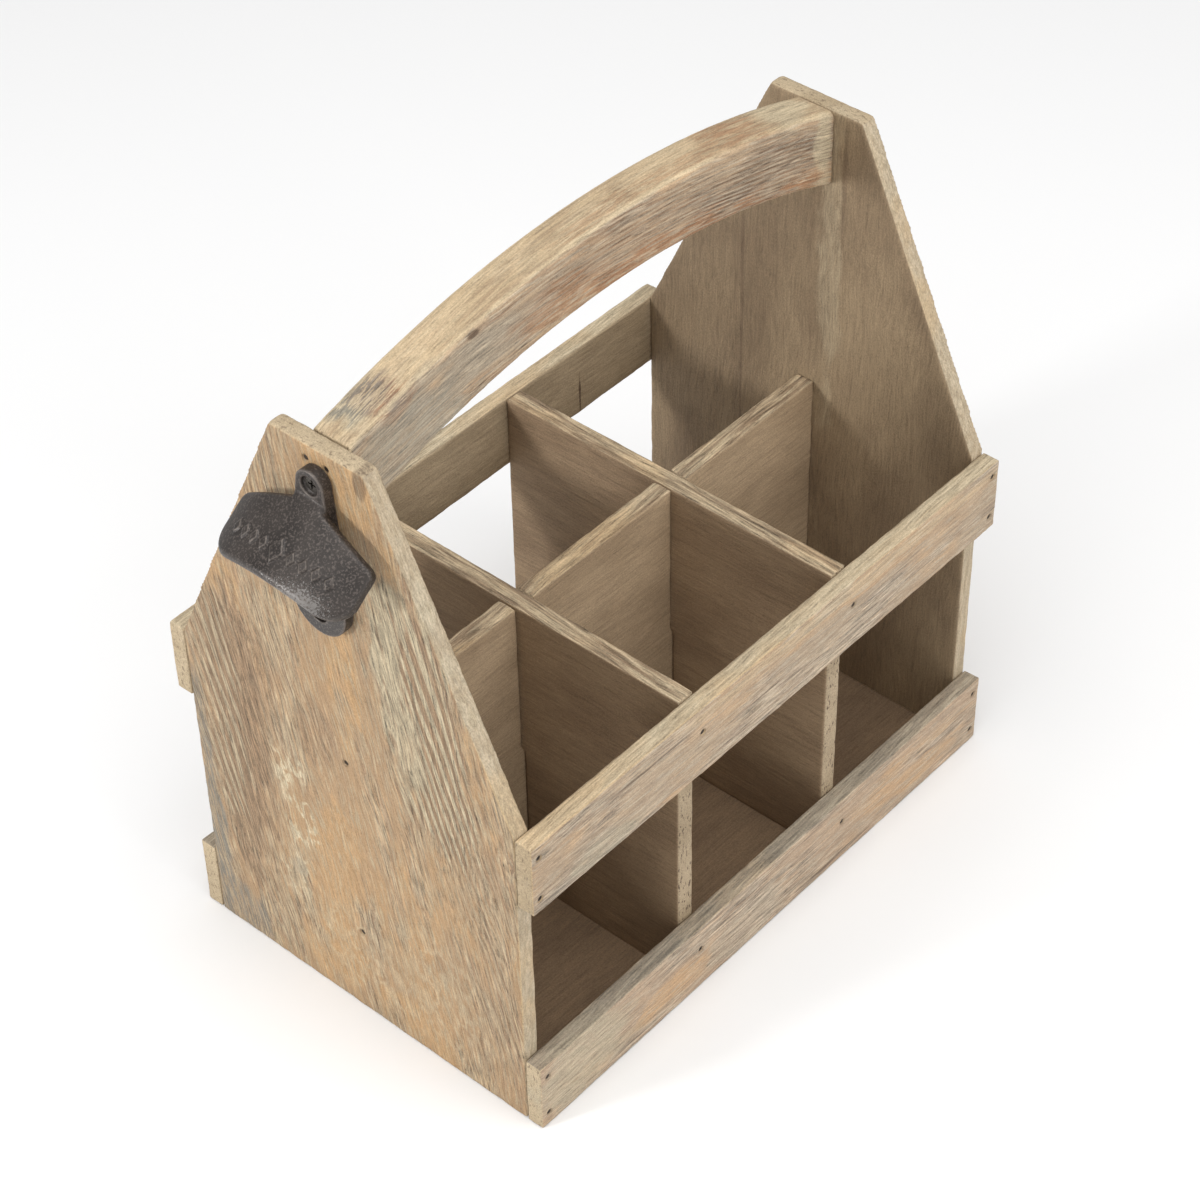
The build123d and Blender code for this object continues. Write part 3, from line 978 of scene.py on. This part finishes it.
rails = {
    "front_upper_rail": (-1, 21.0, (-0.055, 0.13)),
    "front_lower_rail": (-1, 27.0, (0.02, 0.12)),
    "rear_upper_rail": (1, 33.0, (-0.06, -0.05)),
    "rear_lower_rail": (1, 39.0, (0.01, -0.04)),
}
for node, (side, seed, pith) in rails.items():
    # The lower rails take the tones whose darker long edges are painted shade
    tones = lower_rail_tones_with_painted_shade if "lower" in node else grey_tones
    grain = wood(
        "limed_" + node, "XZY", pith, (0.03, 0.02), (0, side, 0), tones, seed, rail_marks[node],
    )
    nails = [(node + "_brads", 1, side)]
    make_board(node, box_outline(node, 1), 1, grain, "rail", seed, nails)

# %% [markdown]
# ## Dividers and floor
# Three thin boards are halved into each other: the long one is slotted from above and the short
# ones from below. They stand on a thin floor. All are smoother and plainer than the outside.
# Cutting the slots with booleans would work too, but here the slots are corners of the outline.

# %% Outline of a slotted board
slot_half_width = 0.0043


def slotted(low, high, places, level):
    """A rectangle with slots at the places, cut from its top if level is over the middle."""
    points = [(low[0], low[1]), (high[0], low[1]), (high[0], high[1])]
    for place in sorted(places, reverse=True):
        points += [(place + slot_half_width, high[1]), (place + slot_half_width, level)]
        points += [(place - slot_half_width, level), (place - slot_half_width, high[1])]
    return points + [(low[0], high[1])]


# %% Make the long divider
slot_level = 0.0765
crossing = 0.043867
low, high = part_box("long_divider")
outline = slotted((low[0], low[2]), (high[0], high[2]), (-crossing, crossing), slot_level)
grain = wood(
    "smooth_long_divider", "XZY", (-0.03, 0.06), (0.02, 0.03), (0, -1, 0), long_tones, 45.0,
    sides="none", rough_edges=1.0,
)
make_board("long_divider", outline, 1, grain, "long divider", 45.0)

# %% Make the cross dividers
# Their slots are open below, so the outline is drawn upside down and turned over
low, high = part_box("cross_divider_near")
outline = slotted((low[1], -high[2]), (high[1], -low[2]), (0.0,), -slot_level)
outline = [(y, -z) for y, z in outline]
for node, seed in {"cross_divider_near": 51.0, "cross_divider_far": 57.0}.items():
    grain = wood(
        "smooth_" + node, "YZX", (-0.05, 0.07), (0.03, 0.02), (-1, 0, 0), plain_tones, seed,
        sides="none", rough_edges=1.0, pitted=0.9,
    )
    make_board(node, outline, 0, grain, "cross divider", seed)

# %% Make the floor
grain = wood(
    "smooth_base", "XYZ", (0.02, 0.05), (0.02, 0.02), (0, 0, 1), rack_floor_tones, 63.0,
    sides="none",
)
outline = box_outline("base_board", 2)
nails = [("base_brads", 2, -1)]
make_board("base_board", outline, 2, grain, "floor board", 63.0, nails)

# %% [markdown]
# ## Handle
# The handle is sawn to two arcs and its edges are rounded, so it starts from a copy of the CAD
# solid. A CAD mesh is loose triangles, so the copy is merged before it is divided. Where the
# CAD has a hole for a nail, dividing it leaves a small bubble inside, and that is deleted.

# %% Copy a CAD solid
def solid_copy(node, name):
    """A merged copy of a CAD node's mesh as a new object."""
    made = bmesh.new()
    made.from_mesh(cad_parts[node].data)
    bmesh.ops.remove_doubles(made, verts=made.verts, dist=1e-6)
    mesh = bpy.data.meshes.new(name)
    made.to_mesh(mesh)
    made.free()
    piece = bpy.data.objects.new(name, mesh)
    scene.collection.objects.link(piece)
    return piece


# %% Delete the bubbles
def keep_largest(mesh):
    """Delete every loose part but the largest, and return how many parts there were."""
    made = bmesh.new()
    made.from_mesh(mesh)
    left = set(made.verts)
    parts = []
    while left:
        seeds = [left.pop()]
        part = set(seeds)
        while seeds:
            for edge in seeds.pop().link_edges:
                for vertex in edge.verts:
                    if vertex in left:
                        left.discard(vertex)
                        part.add(vertex)
                        seeds.append(vertex)
        parts.append(part)
    parts.sort(key=len)
    for part in parts[:-1]:
        bmesh.ops.delete(made, geom=list(part), context="VERTS")
    made.to_mesh(mesh)
    made.free()
    return len(parts)


# %% Marks of the handle
handle_face = -0.0093
handle_marks = on_face(1, handle_face, 0.004, [
    ("wash", -0.104, 0.2660, 0.026, 0.016, 1.0),
    ("wash", -0.066, 0.2800, 0.026, 0.009, 0.8),
    ("smudge", -0.092, 0.2760, 0.020, 0.004, 0.25),
    ("rings", 0.020, 0.2850, 0.050, 0.010, 0.6),
    ("rings", 0.085, 0.2720, 0.040, 0.014, 0.7),
    ("brown", 0.082, 0.2760, 0.034, 0.006, 0.6),
    ("brown", -0.014, 0.2860, 0.026, 0.004, 0.5),
    ("rust", -0.022, 0.2780, 0.024, 0.0080, 0.7),
    ("rust", 0.012, 0.2735, 0.020, 0.0050, 0.9),
    ("rust", 0.042, 0.2700, 0.020, 0.0050, 0.9),
    ("rust", 0.070, 0.2640, 0.020, 0.0050, 0.8),
    ("rust", 0.102, 0.2560, 0.020, 0.0060, 0.9),
    ("pale", 0.1210, 0.2670, 0.0045, 0.020, 0.8),
]) + on_face(1, handle_face, 0.003, [
    ("dark", -0.0684, 0.2905, 0.0030, 0.0016, 0.8),
    ("dark", 0.080, 0.2700, 0.026, 0.0006, 0.5),
    ("dark", 0.095, 0.2770, 0.020, 0.0005, 0.4),
]) + [
    ("pale", (-0.1180, 0.0, 0.2840), (0.010, 0.010, 0.004), 0.9),
    ("pale", (0.1080, 0.0, 0.2840), (0.016, 0.010, 0.006), 0.8),
    ("smudge", (-0.1120, 0.003, 0.2840), (0.012, 0.012, 0.006), 0.8),
    ("rust", (-0.1090, -0.003, 0.2850), (0.009, 0.010, 0.006), 1.0),
    ("rust", (0.076, 0.0, 0.2920), (0.020, 0.008, 0.006), 0.6),
    ("rust", (0.030, -0.004, 0.2980), (0.050, 0.004, 0.006), 0.4),
]
print("handle's marks:", len(handle_marks))

# %% Make the handle
handle = solid_copy("carry_handle", "worn_carry_handle")
grain = wood(
    "limed_handle", "XZY", (-0.29, 0.06), (0.02, 0.05), (0, -1, 0), handle_tones, 71.0,
    handle_marks, sides="both", rough_edges=0.4, lean=0.01, dense=520, bend=1.15,
)
weather(handle, grain, "handle", 71.0)
print("handle parts:", keep_largest(handle.data))
hold_inside(handle.data, "carry_handle")
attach(handle, "root")
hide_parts("carry_handle")

# %% [markdown]
# ## Opener
# The opener is cast iron with a dark waxed skin. A casting has no sharp edges, so a copy of the
# CAD solid is divided into very small squares and goes through the weathering tree, as the
# boards do. The tree also notes where an edge stands out, and there the iron is lighter, from
# wear and from a painted highlight. The sand left fine grains, and a lighter, more metallic
# patch on the front edge of the visor is a painted highlight.

# %% Cast iron
# Middle and half sizes of the painted highlight on the visor's front edge
highlight_middle = (-0.1620, -0.0180, 0.2405)
highlight_radii = (0.0030, 0.0100, 0.0030)


def cast_iron():
    """Dark iron with the fine grain of a sand mould, its edges lighter from wear and painted
    highlight, and a painted highlight on the visor's front edge.
    """
    material, tree, shader = new_material("dark_cast_iron")
    place = coordinate(tree, "Object")
    grit = noise(tree, place, (1300, 1300, 1300), 1.0, 3.0)
    cloud = noise(tree, place, (90, 90, 90), 3.0, 3.0)
    skin = blend(tree, band(tree, cloud, 0.35, 0.65), colour(45, 40, 37), colour(57, 51, 47))
    skin = blend(tree, band(tree, grit, 0.50, 0.64), skin, colour(87, 79, 74))
    # Standing edges are lighter: partly wear, partly a painted highlight
    rubbed_and_highlit = times(tree, attribute(tree, "outer_edge"), 0.45)
    skin = blend(tree, rubbed_and_highlit, skin, colour(122, 112, 104))
    ragged = times(tree, minus(tree, grit, 0.5), 7.0)
    # Painted highlight: a lighter, more metallic patch along the front edge of the visor
    worn = times(tree, blot(tree, highlight_middle, highlight_radii, ragged), 0.5)
    skin = blend(tree, worn, skin, colour(158, 154, 150))
    tree.links.new(skin, shader.inputs["Base Color"])
    metal = plus(tree, times(tree, worn, 0.6), 0.3)
    tree.links.new(metal, shader.inputs["Metallic"])
    gloss = plus(tree, times(tree, cloud, 0.3), 0.28)
    tree.links.new(gloss, shader.inputs["Roughness"])
    inputs = {"Height": grit, "Strength": 0.4, "Distance": 0.0002}
    tree.links.new(add_node(tree, "ShaderNodeBump", inputs).outputs[0], shader.inputs["Normal"])
    return material


# %% Make the opener
opener = solid_copy("bottle_opener", "cast_bottle_opener")
opener.data.materials.clear()
weather(opener, cast_iron(), "opener", 83.0)
print("opener parts:", keep_largest(opener.data), "faces:", len(opener.data.polygons))
hold_inside(opener.data, "bottle_opener")
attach(opener, "root")
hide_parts("bottle_opener")

# %% [markdown]
# ## Screws and nails
# The small steel pieces show as dots a few pixels wide. Their CAD shapes are good enough, so they
# keep them and only get a better material in the slots that they have.

# %% Screws and nails
def steel(name, light, dark, roughness):
    """Dulled steel with fine scratches."""
    material, tree, shader = new_material(name)
    place = coordinate(tree, "Object")
    scratch = noise(tree, place, (900, 2600, 2600), 5.0, 2.0)
    skin = blend(tree, band(tree, scratch, 0.4, 0.6), dark, light)
    tree.links.new(skin, shader.inputs["Base Color"])
    shader.inputs["Roughness"].default_value = roughness
    shader.inputs["Metallic"].default_value = 0.9
    return material


screw_steel = steel("screw_steel_dulled", colour(104, 99, 93), colour(66, 62, 58), 0.3)
brad_steel = steel("brad_steel_dark", colour(84, 74, 66), colour(48, 40, 35), 0.6)
steel_pieces = 0
for name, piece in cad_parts.items():
    for ending, metal in {"screw": screw_steel, "brads": brad_steel}.items():
        if name.endswith(ending):
            steel_pieces += 1
            for slot in piece.material_slots:
                slot.material = metal
print("steel pieces:", steel_pieces)
